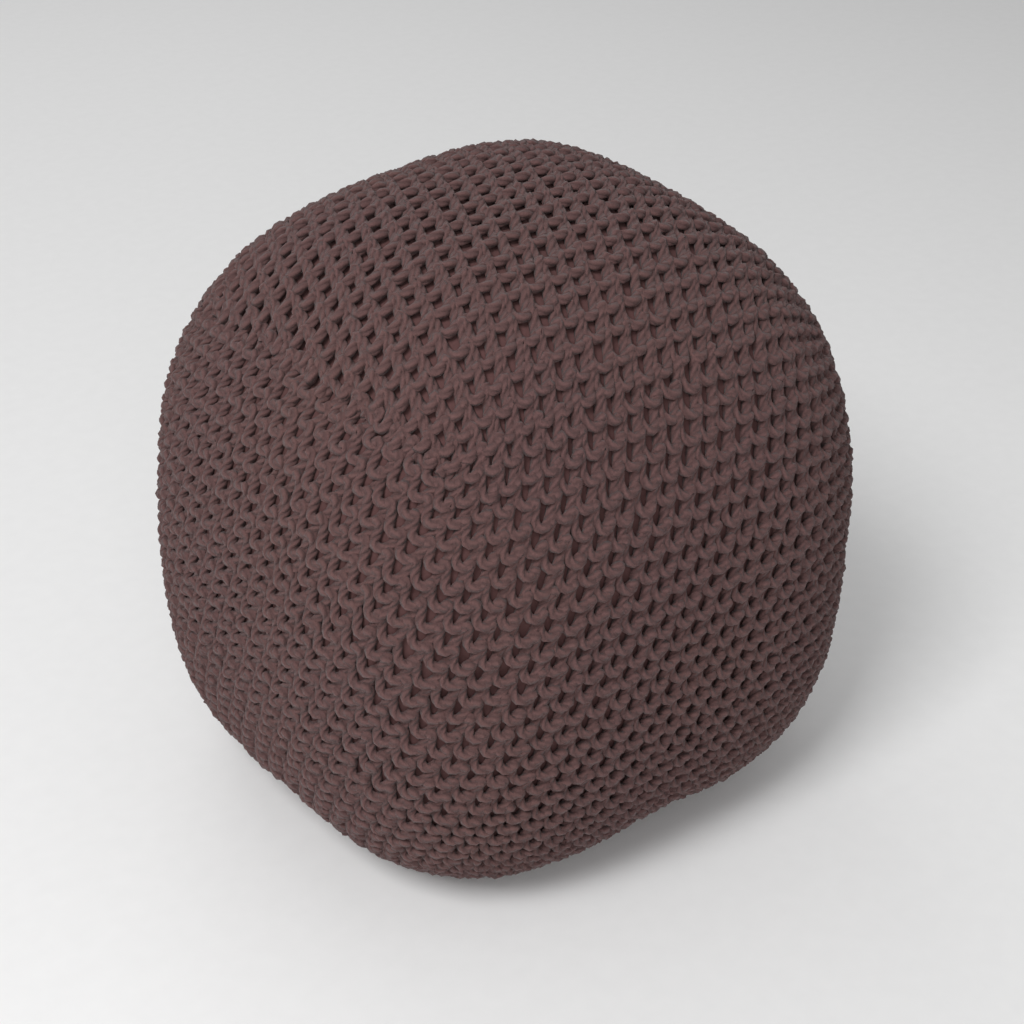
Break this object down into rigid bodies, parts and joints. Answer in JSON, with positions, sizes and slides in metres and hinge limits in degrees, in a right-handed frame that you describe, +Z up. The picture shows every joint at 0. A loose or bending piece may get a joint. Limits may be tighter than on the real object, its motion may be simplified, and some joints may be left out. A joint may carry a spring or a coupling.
{
  "type": "knitted pouf",
  "caption": "Soft cube-shaped knitted pouf, filled and crowned on every side, with soft edges, drawn-in lower sides and a flattened base.",
  "frame": {"origin": "on the flattened base, under the middle of the cover's width and depth", "axes": "+Z up; the four sides face +X, -X, +Y and -Y, and the picture looks at the -Y and -X sides"},
  "size_m": [0.4436, 0.433, 0.4476],
  "materials": {
    "yarn": "matt cotton cord, chunky knit"
  },
  "bodies": {
    "root": {"knitted_cover": "yarn"}
  },
  "joints": []
}
